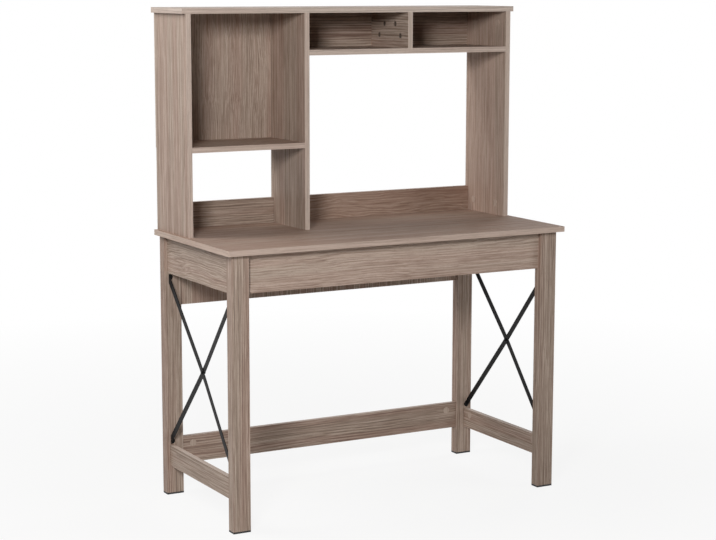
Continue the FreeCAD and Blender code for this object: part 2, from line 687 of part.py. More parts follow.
def build_brace_bar(label, sign, fold_x, high_at_back, bow):
    """A flat bar from fold to fold, moved sideways by its bow where the bars cross."""
    body = doc.addObject("PartDesign::Body", label)
    for letter, expression in zip("xyz", (fold_x, SIDE_START_Y, LOWER_FOLD_Z)):
        bind(body, f"Placement.Base.{letter}", expression)
    inner_face = "0" if sign < 0 else "brace_thickness"
    stations = [
        ("0", "0"),
        (f"({SIDE_SPAN} / 2 - brace_width)", bow),
        (f"({SIDE_SPAN} / 2 + brace_width)", bow),
        (SIDE_SPAN, "0"),
    ]
    sections = []
    for y, x in stations:
        climb = f"({BRACE_RISE} * {y} / {SIDE_SPAN})"
        z = climb if high_at_back else f"({BRACE_RISE} - {climb})"
        offset = (f"({x} - {inner_face})", f"({z} - {BRACE_CUT} / 2)", f"(-{y})")
        sections.append(rectangle_sketch(body, "Section", "XZ_Plane", offset, "brace_thickness", BRACE_CUT))
    loft = body.newObject("PartDesign::AdditiveLoft", "Bar")
    loft.Profile = sections[0]
    loft.Sections = sections[1:]
    loft.Ruled = True
    doc.recompute()
    build_ear(body, sign, False, not high_at_back, "0" if high_at_back else BRACE_RISE)
    build_ear(body, sign, True, high_at_back, BRACE_RISE if high_at_back else "0")
    centre = [(f"({SIDE_SPAN} / 2)", f"({BRACE_RISE} / 2)")]
    level = ("0", "0", f"({bow} - {inner_face})")
    crossing = circle_sketch(body, "BoltHole", "YZ_Plane", level, centre, BRACE_BOLT_BORE)
    pocket(body, crossing, "brace_thickness", True)
    return body


def build_brace(side, sign, front_leg, rear_leg):
    """Two crossing bars at one side, bolted together and screwed to the legs by their ears."""
    inward = RIGHT if sign < 0 else LEFT
    fold_x = f"({sign} * ({LEG_OUTER} - brace_inset))"
    screw_x = f"({sign} * ({LEG_OUTER} - brace_inset - {EAR_SCREW}))"
    inner_bow = f"(brace_bow - {sign} * brace_thickness)"
    first = build_brace_bar(f"{side}_brace_bar_back_high", sign, fold_x, True, "brace_bow")
    second = build_brace_bar(f"{side}_brace_bar_front_high", sign, fold_x, False, inner_bow)
    low_z = f"({LOWER_FOLD_Z} - {EAR_SCREW_LIFT})"
    high_z = f"({LOWER_FOLD_Z} + {BRACE_RISE} + {EAR_SCREW_LIFT})"
    for leg, face, y in (
            (front_leg, BACK, f"({SIDE_START_Y} + brace_thickness)"),
            (rear_leg, FRONT, f"({REAR_LEG_Y} - brace_thickness)")):
        for z in (low_z, high_z):
            leg.hole(face, SCREW_BORE, "(screw_length - brace_thickness)", (screw_x, y, z))
            put("brace_screws", wood_screw, (screw_x, y, z), opposite(face), RIGHT)
    crossing = [f"({SIDE_START_Y} + {SIDE_SPAN} / 2)", f"({LOWER_FOLD_Z} + {BRACE_RISE} / 2)"]
    outer_x = f"({fold_x} + brace_bow)"
    put("brace_bolts", brace_bolt, [outer_x] + crossing, inward, UP)
    put("brace_nuts", brace_nut, [f"({outer_x} - {sign} * 2 * brace_thickness)"] + crossing, inward, UP)
    return [first, second]


def build_upright(label, x, cam_face, desktop, hutch_top):
    """A bookcase side or divider, held to the desktop and to the top."""
    upright = new_board(
        label, (x, HUTCH_Y, "desktop_height"), ("board_thickness", "hutch_depth", "hutch_side_height"))
    hutch_edge(upright, desktop, DOWN, cam_face)
    hutch_edge(upright, hutch_top, UP, cam_face)
    return upright


def build_shelf(label, x, z, width, left_mate, right_mate):
    """A shelf between two uprights, its cams on its underside."""
    shelf = new_board(label, (x, HUTCH_Y, z), (width, "hutch_depth", "board_thickness"))
    hutch_edge(shelf, left_mate, LEFT, DOWN)
    hutch_edge(shelf, right_mate, RIGHT, DOWN)
    return shelf


def build_back_board(label, x, width, left_mate, right_mate, lowering):
    """A low back board on the desktop, flush with the uprights' backs."""
    y = f"({BACK_Y} - board_thickness)"
    board = new_board(label, (x, y, "desktop_height"), (width, "board_thickness", "back_board_height"))
    for mate, direction in ((left_mate, LEFT), (right_mate, RIGHT)):
        cam_place = board.at(2, BACK_BOARD_CAM_SHARE - lowering)
        cam_joint("hutch", board, mate, direction, BACK, 2, cam_place)
        dowel_joint("hutch", board, mate, direction, 2, board.at(2, BACK_BOARD_DOWEL_SHARE - lowering))


def nail(panel, board, x, z):
    """One nail through a thin panel into the back edge of a board."""
    seat = (x, panel.at(1, 1), z)
    panel.hole(BACK, NAIL_BORE, "panel_thickness", seat)
    board.hole(BACK, NAIL_BORE, "(nail_length - panel_thickness)", seat)
    put("panel_nails", panel_nail, seat, FRONT, RIGHT)


def build_panel(label, x, z, width, height, rows, columns, row_shares, column_shares):
    """A thin back panel, nailed to the boards behind its upper, lower and upright edges."""
    panel = new_board(label, (x, BACK_Y, z), (width, "panel_thickness", height))
    for board in rows:
        for share in row_shares:
            nail(panel, board, panel.at(0, share), board.at(2, 0.5))
    for board, nail_x in columns:
        for share in column_shares:
            nail(panel, board, nail_x, panel.at(2, share))


def build_hutch(desktop):
    """The bookcase: three uprights, a top, two shelves, a short divider and its backs."""
    top = new_board(
        "hutch_top",
        (f"(-{HALF_WIDTH})", HUTCH_Y, HUTCH_TOP_Z),
        ("desktop_width", "hutch_depth", "board_thickness"))
    left_side = build_upright("hutch_left_side", f"(-{HUTCH_OUTER})", RIGHT, desktop, top)
    divider = build_upright("hutch_divider", DIVIDER_X, RIGHT, desktop, top)
    right_side = build_upright("hutch_right_side", HUTCH_INNER, LEFT, desktop, top)
    left_bay_x = f"(-{HUTCH_INNER})"
    middle_shelf = build_shelf(
        "middle_shelf", left_bay_x, MIDDLE_SHELF_Z, "left_bay_width", left_side, divider)
    upper_shelf = build_shelf(
        "upper_shelf", RIGHT_BAY_X, UPPER_SHELF_Z, RIGHT_BAY_WIDTH, divider, right_side)
    short_x = f"({RIGHT_BAY_X} + ({RIGHT_BAY_WIDTH} - board_thickness) / 2)"
    short_z = f"({UPPER_SHELF_Z} + board_thickness)"
    short_size = ("board_thickness", "hutch_depth", "upper_cubby_height")
    short_divider = new_board("short_divider", (short_x, HUTCH_Y, short_z), short_size)
    hutch_edge(short_divider, upper_shelf, DOWN, LEFT, False)
    hutch_edge(short_divider, top, UP, LEFT, False, "divider_cam_shift")
    build_back_board("left_back_board", left_bay_x, "left_bay_width", left_side, divider, 0)
    build_back_board(
        "right_back_board", RIGHT_BAY_X, RIGHT_BAY_WIDTH, divider, right_side, BACK_BOARD_STAGGER_SHARE)
    top_z = f"({HUTCH_TOP_Z} + board_thickness)"
    left_columns = [
        (left_side, left_side.at(0, 0.5)),
        (divider, divider.at(0, DIVIDER_LEFT_NAIL_SHARE)),
    ]
    build_panel(
        "left_back_panel", f"(-{HUTCH_OUTER})", MIDDLE_SHELF_Z,
        f"({DIVIDER_MIDDLE_X} + {HUTCH_OUTER})", f"({top_z} - {MIDDLE_SHELF_Z})",
        [middle_shelf, top], left_columns, LEFT_PANEL_ROW_SHARES, LEFT_PANEL_COLUMN_SHARES)
    right_columns = [
        (divider, divider.at(0, DIVIDER_RIGHT_NAIL_SHARE)),
        (short_divider, short_divider.at(0, 0.5)),
        (right_side, right_side.at(0, 0.5)),
    ]
    build_panel(
        "right_back_panel", DIVIDER_MIDDLE_X, UPPER_SHELF_Z,
        f"({HUTCH_OUTER} - {DIVIDER_MIDDLE_X})", f"({top_z} - {UPPER_SHELF_Z})",
        [upper_shelf, top], right_columns, RIGHT_PANEL_ROW_SHARES, RIGHT_PANEL_COLUMN_SHARES)


def group_object(label, shapes):
    """Equal fasteners as one sub-part of separate solids."""
    item = doc.addObject("Part::Feature", label)
    item.Shape = Part.makeCompound(shapes)
    item.Placement = FreeCAD.Placement()
    return item


def write_parts(subparts):
    """Check every object of the document, then write one file for each sub-part."""
    for item in doc.Objects:
        if "Invalid" in item.State or "Error" in item.State:
            raise RuntimeError(f"{item.Label} failed: {item.State}")
    for item in subparts:
        if item.Shape.isNull() or not item.Shape.isValid():
            raise RuntimeError(f"{item.Label} has no valid shape")
    os.makedirs("parts", exist_ok=True)
    for item in subparts:
        item.Shape.exportStep(f"parts/{item.Label}.step")
        print(item.Label, len(item.Shape.Solids), round(item.Shape.Volume))


desktop_board, desk_legs = build_desk()
bars = []
for side_name, side_sign in (("left", -1), ("right", 1)):
    bars += build_brace(side_name, side_sign, desk_legs["front", side_name], desk_legs["rear", side_name])
build_hutch(desktop_board)
for built_board in boards:
    built_board.drill()
fastener_objects = [group_object(label, shapes) for label, shapes in groups.items()]
doc.recompute()
write_parts([built_board.body for built_board in boards] + bars + fastener_objects)
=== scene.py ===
import json
import math

import bpy
from mathutils import Matrix, Vector


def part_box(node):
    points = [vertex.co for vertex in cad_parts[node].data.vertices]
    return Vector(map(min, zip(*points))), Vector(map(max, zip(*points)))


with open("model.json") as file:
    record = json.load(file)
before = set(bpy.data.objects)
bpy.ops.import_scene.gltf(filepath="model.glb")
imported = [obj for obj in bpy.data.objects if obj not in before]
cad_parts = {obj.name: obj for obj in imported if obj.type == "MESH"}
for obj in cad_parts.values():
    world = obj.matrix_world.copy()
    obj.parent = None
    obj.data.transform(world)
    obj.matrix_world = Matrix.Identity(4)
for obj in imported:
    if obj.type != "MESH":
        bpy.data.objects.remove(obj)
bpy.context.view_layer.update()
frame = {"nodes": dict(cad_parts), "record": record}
NODES = frame["nodes"]

# The photograph's size in pixels, and its camera in the object's frame, in metres and degrees.
PHOTO_WIDTH = 716
PHOTO_HEIGHT = 540
CAMERA_PLACE = Vector((-2.5298, -4.5597, 1.4482))
CAMERA_YAW = 29.06
CAMERA_PITCH = -9.16
CAMERA_ROLL = 0.11
CAMERA_REACH = 200.0
SENSOR_WIDTH_MM = 36.0

# The camera's focal length and the point it looks straight at, in the photograph's pixels.
FOCAL_PIXELS = 1865.7
VIEW_CENTRE_X = 361.8
VIEW_CENTRE_Y = 281.3

X_AXIS, Y_AXIS, Z_AXIS = range(3)
AXES = (X_AXIS, Y_AXIS, Z_AXIS)

# The standard curve of colours: a straight stretch for the darkest, and a power for the rest.
FULL_LEVEL = 255
STRAIGHT_END = 0.04045
STRAIGHT_SLOPE = 12.92
CURVE_OFFSET = 0.055
CURVE_POWER = 2.4


def linear(level):
    """A level as it is seen, 0 to 255, as the share of light that a shader takes."""
    share = level / FULL_LEVEL
    if share <= STRAIGHT_END:
        return share / STRAIGHT_SLOPE
    return ((share + CURVE_OFFSET) / (1 + CURVE_OFFSET)) ** CURVE_POWER


def srgb(red, green, blue):
    """An opaque colour, given by its levels as they are seen."""
    return (linear(red), linear(green), linear(blue), 1.0)


# A node tree, written as short calls

# Nearly all of a noise texture's values lie between these two.
NOISE_LOW = 0.3
NOISE_HIGH = 0.7
# How many finer layers a noise texture adds to its own, and how strong each is, as a share of
# the one before it.
SOFT_DETAIL = 1.0
PLAIN_DETAIL = 2.0
RICH_DETAIL = 3.0
PLAIN_DETAIL_SHARE = 0.5


class Shader:
    """A material's node tree, with short calls for the nodes that the finishes share."""

    SOCKETS = {
        "color": "Base Color",
        "roughness": "Roughness",
        "metallic": "Metallic",
        "shine": "Specular IOR Level",
    }

    def __init__(self, name):
        self.material = bpy.data.materials.new(name)
        self.material.use_nodes = True
        self.tree = self.material.node_tree
        self.principled = self.tree.nodes["Principled BSDF"]

    def node(self, kind, **settings):
        made = self.tree.nodes.new(kind)
        for key, setting in settings.items():
            setattr(made, key, setting)
        return made

    def link(self, source, target):
        self.tree.links.new(source, target)

    def put(self, value, socket):
        """Link an output, or set a plain number or vector."""
        if isinstance(value, bpy.types.NodeSocket):
            self.link(value, socket)
        else:
            socket.default_value = value

    def surface(self, **values):
        """Give the shader's own sockets their colour, roughness and so on, by plain name."""
        for name, value in values.items():
            self.put(value, self.principled.inputs[self.SOCKETS[name]])

    def math(self, operation, first, second=0.0):
        made = self.node("ShaderNodeMath", operation=operation)
        self.put(first, made.inputs[0])
        self.put(second, made.inputs[1])
        return made.outputs[0]

    def total(self, first, *others):
        """The sum of any number of values."""
        for other in others:
            first = self.math("ADD", first, other)
        return first

    def vector(self, operation, first, second):
        made = self.node("ShaderNodeVectorMath", operation=operation)
        self.put(first, made.inputs[0])
        self.put(second, made.inputs[1])
        return made.outputs[0]

    def object_place(self):
        """A point's place in the object's own frame, in metres."""
        return self.node("ShaderNodeTexCoord").outputs["Object"]

    def noise(self, vector, scale, detail=PLAIN_DETAIL, detail_share=PLAIN_DETAIL_SHARE):
        made = self.node("ShaderNodeTexNoise")
        self.put(vector, made.inputs["Vector"])
        made.inputs["Scale"].default_value = scale
        made.inputs["Detail"].default_value = detail
        made.inputs["Roughness"].default_value = detail_share
        return made.outputs["Fac"]

    def spread(self, value, low, high, low_result, high_result):
        """A value's range low to high, carried over to another range."""
        made = self.node("ShaderNodeMapRange")
        self.put(value, made.inputs["Value"])
        made.inputs["From Min"].default_value = low
        made.inputs["From Max"].default_value = high
        made.inputs["To Min"].default_value = low_result
        made.inputs["To Max"].default_value = high_result
        return made.outputs["Result"]

    def either_way(self, noise, reach):
        """A noise of 0 to 1, carried over to the range from minus reach to plus reach."""
        return self.spread(noise, 0, 1, -reach, reach)

    def ramp(self, value, stops):
        made = self.node("ShaderNodeValToRGB")
        elements = made.color_ramp.elements
        elements[0].position, elements[0].color = stops[0]
        elements[1].position, elements[1].color = stops[-1]
        for position, color in stops[1:-1]:
            elements.new(position).color = color
        self.put(value, made.inputs["Fac"])
        return made.outputs["Color"]

    def mottle(self, noise, tones):
        """Two tones of a colour, chosen by a noise."""
        dark, light = tones
        return self.ramp(noise, [(NOISE_LOW, dark), (NOISE_HIGH, light)])

    def vary(self, noise, limits):
        """A number that runs between two limits with a noise."""
        return self.spread(noise, NOISE_LOW, NOISE_HIGH, *limits)

    def blend_colors(self, share, first, second):
        made = self.node("ShaderNodeMix", data_type="RGBA")
        self.put(share, made.inputs["Factor"])
        self.put(first, made.inputs["A"])
        self.put(second, made.inputs["B"])
        return made.outputs["Result"]

    def blend_vectors(self, share, first, second):
        made = self.node("ShaderNodeMix", data_type="VECTOR")
        self.put(share, made.inputs["Factor"])
        self.put(first, made.inputs["A"])
        self.put(second, made.inputs["B"])
        return made.outputs["Result"]

    def bump(self, height, distance):
        made = self.node("ShaderNodeBump")
        made.inputs["Distance"].default_value = distance
        self.put(height, made.inputs["Height"])
        self.link(made.outputs["Normal"], self.principled.inputs["Normal"])


def dress(node_name, material):
    """Give a solid one material in place of its own."""
    materials = NODES[node_name].data.materials
    materials.clear()
    materials.append(material)


# How the wood grain lies in a board

UPRIGHT_GRAIN_NODES = ("rear_panel",)
# A board is thin where its width is more than this many times its thickness.
THIN_BOARD_RATIO = 2
# A surface faces along an axis where that much of its unit normal points along it.
FACING_SHARE = 0.7


class Grain:
    """How the grain lies in a board: its axis, that of its end bands, and the thin axis."""

    def __init__(self, node_name):
        low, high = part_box(node_name)
        sides = [high[axis] - low[axis] for axis in AXES]
        longest, middle, shortest = sorted(AXES, key=lambda axis: -sides[axis])
        self.axis, self.end_axis = longest, middle
        if node_name in UPRIGHT_GRAIN_NODES:
            self.axis, self.end_axis = Z_AXIS, longest
        is_thin = sides[middle] > THIN_BOARD_RATIO * sides[shortest]
        self.thin_axis = shortest if is_thin else None


def faces_along(shader, normal, axis):
    """1 where the surface faces along an axis, either way."""
    return shader.math("GREATER_THAN", shader.math("ABSOLUTE", normal.outputs[axis]), FACING_SHARE)


def grain_place(shader, grain, coordinates, normal, offset):
    """A point's place in metres, turned so that X runs along the grain.

    Faces square to the grain are edge bands, whose own grain runs along the end axis.
    """
    moved = shader.node("ShaderNodeSeparateXYZ")
    shader.link(shader.vector("ADD", coordinates.outputs["Object"], offset), moved.inputs[0])
    turned = []
    for axis in (grain.axis, grain.end_axis):
        across = [other for other in AXES if other != axis]
        joined = shader.node("ShaderNodeCombineXYZ")
        for socket, source in zip(joined.inputs, (axis, *across)):
            shader.link(moved.outputs[source], socket)
        turned.append(joined.outputs[0])
    return shader.blend_vectors(faces_along(shader, normal, grain.axis), turned[0], turned[1])


# The print of the laminate

# How often each layer of the print repeats, per metre: along the grain, and across it.
BAND_RATE = (0.8, 26.0)
FIGURE_RATE = (1.3, 9.0)
DRIFT_RATE = (4.0, 14.0)
STREAK_RATE = (2.6, 340.0)
FIBRE_RATE = (16.0, 700.0)
PORE_RATE = (90.0, 1500.0)
# The rings' rate along the first axis across the grain, and the share of it along the second.
RING_RATE = 185.0
RING_SLANT_SHARE = 0.7
# How strong each finer layer of the streaks' noise is, as a share of the one before it.
STREAK_DETAIL_SHARE = 0.6

# The print runs from 0, dark, to 1, light: its middle, and how far each layer moves it from there.
MIDDLE_LEVEL = 0.5
BAND_REACH = 0.25
FLAMED_STREAK_REACH = 1.0
PLAIN_STREAK_REACH = 1.5
FIBRE_REACH = 0.7
FAINT_RINGS = 0.02
STRONG_RINGS = 0.22
EDGE_LIFT = 0.25

LAMINATE_DARK = srgb(114, 92, 79)
LAMINATE_MIDDLE = srgb(165, 144, 130)
LAMINATE_LIGHT = srgb(200, 181, 167)
LAMINATE_RED = srgb(172, 143, 130)
LAMINATE_GREY = srgb(158, 145, 131)
LAMINATE_EDGE = srgb(228, 214, 203)
# A deeper brown, blended into some boards as painted shade.
PAINTED_SHADE_BROWN = srgb(158, 116, 94)

# How much of each second colour is blended in, and the noise levels between which one begins.
TINT_SHARE = 0.25
TINT_LOW = 0.42
TINT_HIGH = 0.58
PORE_SHARE = 0.4
PORE_LOW = 0.30
PORE_HIGH = 0.40
EDGE_PALE_SHARE = 0.26

# The streaks' part in the roughness, the fibres' height as a share of the pores' depth, and that
# depth in metres.
ROUGHNESS_REACH = 0.05
FIBRE_HEIGHT_SHARE = 0.6
PORE_DEPTH = 0.00012

# How far the rings bend, in rings, and how far all the lines sway, in metres.
PLAIN_FLAME = (1.0, 0.004)
COVER_FLAME = (1.2, 0.006)
LOW_FLAME = (2.0, 0.007)
HIGH_FLAME = (3.5, 0.012)

# The specular level and the roughness.
PLAIN_GLOSS = (0.2, 0.5)
TOP_GLOSS = (0.5, 0.4)
DESKTOP_GLOSS = (0.12, 0.6)
PANEL_GLOSS = (0.1, 0.6)


def layer(shader, place, rate, detail=PLAIN_DETAIL, detail_share=PLAIN_DETAIL_SHARE):
    """A noise that is drawn out along the grain."""
    along, across = rate
    drawn_out = shader.vector("MULTIPLY", place, (along, across, across))
    return shader.noise(drawn_out, 1.0, detail, detail_share)


def swayed(shader, place, drift):
    """A place moved a little across the grain, so that no line of the print is quite straight."""
    sway = shader.either_way(layer(shader, place, DRIFT_RATE), drift)
    sideways = shader.node("ShaderNodeCombineXYZ")
    shader.link(sway, sideways.inputs[Y_AXIS])
    shader.link(sway, sideways.inputs[Z_AXIS])
    return shader.vector("ADD", place, sideways.outputs[0])


def growth_rings(shader, place, bands, bend):
    """Waves across the grain that bend into flames, strong in some bands and faint in others."""
    across = shader.node("ShaderNodeVectorMath", operation="DOT_PRODUCT")
    shader.link(place, across.inputs[0])
    across.inputs[1].default_value = (0, RING_RATE, RING_SLANT_SHARE * RING_RATE)
    figure = shader.either_way(layer(shader, place, FIGURE_RATE, SOFT_DETAIL), bend)
    turns = shader.math("MULTIPLY", shader.total(across.outputs["Value"], figure), math.tau)
    strength = shader.vary(bands, (FAINT_RINGS, STRONG_RINGS))
    return shader.math("MULTIPLY", shader.math("SINE", turns), strength)


def print_color(shader, place, level, pores):
    """The print's colour at a level, redder and greyer in places, with dark pores."""
    stops = [(0, LAMINATE_DARK), (MIDDLE_LEVEL, LAMINATE_MIDDLE), (1, LAMINATE_LIGHT)]
    color = shader.ramp(level, stops)
    drift = layer(shader, place, BAND_RATE, SOFT_DETAIL)
    tint = shader.ramp(drift, [(TINT_LOW, LAMINATE_RED), (TINT_HIGH, LAMINATE_GREY)])
    color = shader.blend_colors(TINT_SHARE, color, tint)
    return shader.blend_colors(shader.math("MULTIPLY", pores, PORE_SHARE), color, LAMINATE_DARK)


def laminate(name, grain, offset, tone=0.0, flame=PLAIN_FLAME, gloss=PLAIN_GLOSS, brown=0.0):
    """Matt grey-brown laminate: rings that bend into flames, streaks, fine fibres and pores.

    A tone above 0 lightens the print and one below darkens it, as painted light and shade.
    Brown is the share of a deeper brown that is blended in, as painted shade.
    """
    bend, drift = flame
    shine, roughness = gloss
    shader = Shader(name)
    coordinates = shader.node("ShaderNodeTexCoord")
    normal = shader.node("ShaderNodeSeparateXYZ")
    shader.link(coordinates.outputs["Normal"], normal.inputs[0])
    place = swayed(shader, grain_place(shader, grain, coordinates, normal, offset), drift)
    bands = layer(shader, place, BAND_RATE)
    streaks = layer(shader, place, STREAK_RATE, RICH_DETAIL, STREAK_DETAIL_SHARE)
    fibres = layer(shader, place, FIBRE_RATE)
    pores = shader.spread(layer(shader, place, PORE_RATE, SOFT_DETAIL), PORE_LOW, PORE_HIGH, 1, 0)
    streak_reach = FLAMED_STREAK_REACH if flame != PLAIN_FLAME else PLAIN_STREAK_REACH
    # The tone lifts or lowers the whole print: painted light and shade.
    level = shader.total(
        shader.either_way(bands, BAND_REACH),
        MIDDLE_LEVEL + tone,
        shader.either_way(streaks, streak_reach),
        shader.either_way(fibres, FIBRE_REACH),
        growth_rings(shader, place, bands, bend),
    )
    # The edges are drawn lighter and paler than the faces.
    if grain.thin_axis is not None:
        on_edge = shader.math("SUBTRACT", 1.0, faces_along(shader, normal, grain.thin_axis))
        level = shader.total(level, shader.math("MULTIPLY", on_edge, EDGE_LIFT))
    color = print_color(shader, place, level, pores)
    # Painted shade: some boards are blended towards a deeper brown.
    if brown > 0:
        color = shader.blend_colors(brown, color, PAINTED_SHADE_BROWN)
    if grain.thin_axis is not None:
        edge_share = shader.math("MULTIPLY", on_edge, EDGE_PALE_SHARE)
        color = shader.blend_colors(edge_share, color, LAMINATE_EDGE)
    rough_limits = (roughness + ROUGHNESS_REACH, roughness - ROUGHNESS_REACH)
    shader.surface(color=color, roughness=shader.vary(streaks, rough_limits), shine=shine)
    raised = shader.math("MULTIPLY", fibres, FIBRE_HEIGHT_SHARE)
    shader.bump(shader.math("SUBTRACT", raised, pores), PORE_DEPTH)
    return shader.material


# The boards

BOARD_SLOTS = ("board_laminate", "panel_laminate")
COVER_SLOT = "cover_film"
# What sets a board apart from the plain one: its flames and gloss, and its painted light and
# shade, a tone that lightens or darkens its print and a share of brown that deepens it.
BOARD_LOOKS_AND_PAINTED_LIGHT = {
    "desktop": {"tone": 0.11, "gloss": DESKTOP_GLOSS, "brown": 0.2},
    "front_apron": {"tone": 0.22, "flame": LOW_FLAME},
    "front_left_leg": {"tone": -0.05},
    "front_right_leg": {"tone": -0.05},
    "hutch_left_side": {"tone": 0.08},
    "hutch_right_side": {"tone": 0.28, "brown": 0.15},
    "hutch_top": {"tone": -0.08, "gloss": TOP_GLOSS},
    "left_back_board": {"tone": -0.10},
    "left_back_panel": {"tone": 0.12, "flame": HIGH_FLAME, "gloss": PANEL_GLOSS},
    "left_side_apron": {"tone": 0.05, "flame": HIGH_FLAME},
    "left_side_stretcher": {"tone": -0.08},
    "middle_shelf": {"tone": -0.08, "brown": 0.1},
    "rear_left_leg": {"tone": -0.06},
    "rear_stretcher": {"tone": -0.10},
    "right_back_board": {"tone": -0.10, "flame": HIGH_FLAME, "brown": 0.3},
    "right_back_panel": {"tone": -0.05, "gloss": PANEL_GLOSS},
    "right_side_apron": {"flame": HIGH_FLAME},
}
# The covers take one print, with the grain of an upright post, and a tone that lightens them
# as a painted sheen.
COVER_LOOK_AND_PAINTED_SHEEN = {"tone": 0.3, "flame": COVER_FLAME}
COVER_GRAIN_NODE = "front_left_leg"
# The step from one board to the next on the laminate's endless print, and the covers' place on
# it, in metres.
BOARD_STEP = (1.37, 2.11, 0.73)
COVER_OFFSET = (5.2, 3.3, 1.9)

# The width of a broken edge in metres, its facets, and how sharp an edge is that gets one.
EDGE_BREAK = 0.0006
EDGE_SEGMENTS = 2
SHARP_EDGE_ANGLE = math.radians(60)


def soften_edges(node_name):
    """Break a board's sharp edges a little, as sanded edge bands are."""
    bevel = NODES[node_name].modifiers.new("soft_edges", "BEVEL")
    bevel.width = EDGE_BREAK
    bevel.segments = EDGE_SEGMENTS
    bevel.limit_method = "ANGLE"
    bevel.angle_limit = SHARP_EDGE_ANGLE


def dress_boards():
    """Give each board its own stretch of the laminate, and the covers another."""
    slots = {part["node"]: part["material_slot"] for part in frame["record"]["subparts"]}
    boards = sorted(name for name, slot in slots.items() if slot in BOARD_SLOTS)
    for number, name in enumerate(boards):
        offset = tuple(number * step for step in BOARD_STEP)
        # A board's look brings its painted light and shade along with its flame and gloss.
        look = BOARD_LOOKS_AND_PAINTED_LIGHT.get(name, {})
        soften_edges(name)
        dress(name, laminate(f"laminate_{name}", Grain(name), offset, **look))
    covers = laminate("laminate_cover", Grain(COVER_GRAIN_NODE), COVER_OFFSET, **COVER_LOOK_AND_PAINTED_SHEEN)
    for name, slot in slots.items():
        if slot == COVER_SLOT:
            dress(name, covers)


# Metal, plastic and plain wood. Rates are per metre, heights in metres, and pairs are limits.

COAT_TONES = (srgb(14, 14, 15), srgb(22, 21, 21))
COAT_ROUGHNESS = (0.42, 0.56)
COAT_SHINE = 0.15
COAT_CLOUD_RATE = 60.0
COAT_PEEL_RATE = 1600.0
COAT_PEEL_HEIGHT = 0.00008

PLASTIC_TONES = (srgb(22, 22, 23), srgb(34, 33, 33))
PLASTIC_ROUGHNESS = (0.55, 0.7)
PLASTIC_GRAIN_RATE = 900.0
PLASTIC_GRAIN_HEIGHT = 0.0001

ZINC_TONES = (srgb(126, 118, 110), srgb(158, 149, 140))
ZINC_ROUGHNESS = (0.4, 0.6)
ZINC_CLOUD_RATE = 300.0
STEEL_TONES = (srgb(176, 176, 172), srgb(206, 206, 203))
STEEL_ROUGHNESS = (0.25, 0.4)
STEEL_CLOUD_RATE = 400.0
# How many times finer a metal's relief is than its clouds, and how high.
METAL_RELIEF_RATIO = 6
METAL_RELIEF_HEIGHT = 0.00005

BEECH_TONES = (srgb(196, 164, 124), srgb(216, 188, 150))
BEECH_ROUGHNESS = 0.7
BEECH_FLECK_RATE = 500.0


def powder_coat():
    """Satin black powder coat: a fine orange-peel surface, a little lighter in places."""
    shader = Shader("black_powder_coat")
    place = shader.object_place()
    clouds = shader.noise(place, COAT_CLOUD_RATE, RICH_DETAIL)
    peel = shader.noise(place, COAT_PEEL_RATE)
    shader.surface(color=shader.mottle(clouds, COAT_TONES), shine=COAT_SHINE)
    shader.surface(roughness=shader.vary(peel, COAT_ROUGHNESS))
    shader.bump(peel, COAT_PEEL_HEIGHT)
    return shader.material


def moulded_plastic():
    """Black moulded plastic with a fine matt texture."""
    shader = Shader("black_plastic")
    grain = shader.noise(shader.object_place(), PLASTIC_GRAIN_RATE)
    shader.surface(color=shader.mottle(grain, PLASTIC_TONES))
    shader.surface(roughness=shader.vary(grain, PLASTIC_ROUGHNESS))
    shader.bump(grain, PLASTIC_GRAIN_HEIGHT)
    return shader.material


def metal(name, tones, roughness, cloud_rate):
    """A plain metal with cloudy tone and roughness."""
    shader = Shader(name)
    place = shader.object_place()
    clouds = shader.noise(place, cloud_rate, RICH_DETAIL)
    shader.surface(color=shader.mottle(clouds, tones), metallic=1.0)
    shader.surface(roughness=shader.vary(clouds, roughness))
    shader.bump(shader.noise(place, METAL_RELIEF_RATIO * cloud_rate), METAL_RELIEF_HEIGHT)
    return shader.material


def plain_wood():
    """Pale beech, as in the dowels."""
    shader = Shader("beech")
    flecks = shader.noise(shader.object_place(), BEECH_FLECK_RATE)
    shader.surface(color=shader.mottle(flecks, BEECH_TONES), roughness=BEECH_ROUGHNESS)
    return shader.material


def dress_fittings():
    """Give the braces, pads and fasteners the finish of their slot."""
    finishes = {
        "black_steel": powder_coat(),
        "black_plastic": moulded_plastic(),
        "cam_zinc": metal("cam_zinc", ZINC_TONES, ZINC_ROUGHNESS, ZINC_CLOUD_RATE),
        "zinc_steel": metal("zinc_steel", STEEL_TONES, STEEL_ROUGHNESS, STEEL_CLOUD_RATE),
        "beech": plain_wood(),
    }
    for part in frame["record"]["subparts"]:
        if part["material_slot"] in finishes:
            dress(part["node"], finishes[part["material_slot"]])


# Stage, lamps and camera

WHITE = (1.0, 1.0, 1.0, 1.0)
WHITE_STRENGTH = 1.0
WORLD_LIGHT = 0.02

# The floor, in metres. From the near distance to the far one it fades to the background's white.
FLOOR_RADIUS = 30.0
FLOOR_SIDES = 64
FLOOR_COLOR = srgb(224, 223, 221)
FLOOR_ROUGHNESS = 0.9
FLOOR_SHINE = 0.1
SHADOW_NEAR = 0.8
SHADOW_FAR = 3.0
NEAR_WHITE_SHARE = 0.88

# Each lamp's place and width in metres and its power in watts, and the point they all face.
LAMPS = {
    "key_lamp": ((-2.55, -3.08, 2.12), 0.75, 104.0),
    "left_lamp": ((-2.0, 0.75, 2.8), 1.2, 38.0),
    "right_lamp": ((2.95, -2.06, 2.0), 1.2, 26.0),
    "back_lamp": ((2.8, 1.6, 1.7), 1.2, 20.0),
}
LAMP_AIM = Vector((0, 0, 0.8))


def background_rays(tree):
    """1 for the camera's rays, and for those that a surface mirrors or lets through."""
    path = tree.nodes.new("ShaderNodeLightPath")
    chosen = path.outputs["Is Camera Ray"]
    for name in ("Is Glossy Ray", "Is Transmission Ray"):
        either = tree.nodes.new("ShaderNodeMath")
        either.operation = "MAXIMUM"
        tree.links.new(chosen, either.inputs[0])
        tree.links.new(path.outputs[name], either.inputs[1])
        chosen = either.outputs[0]
    return chosen


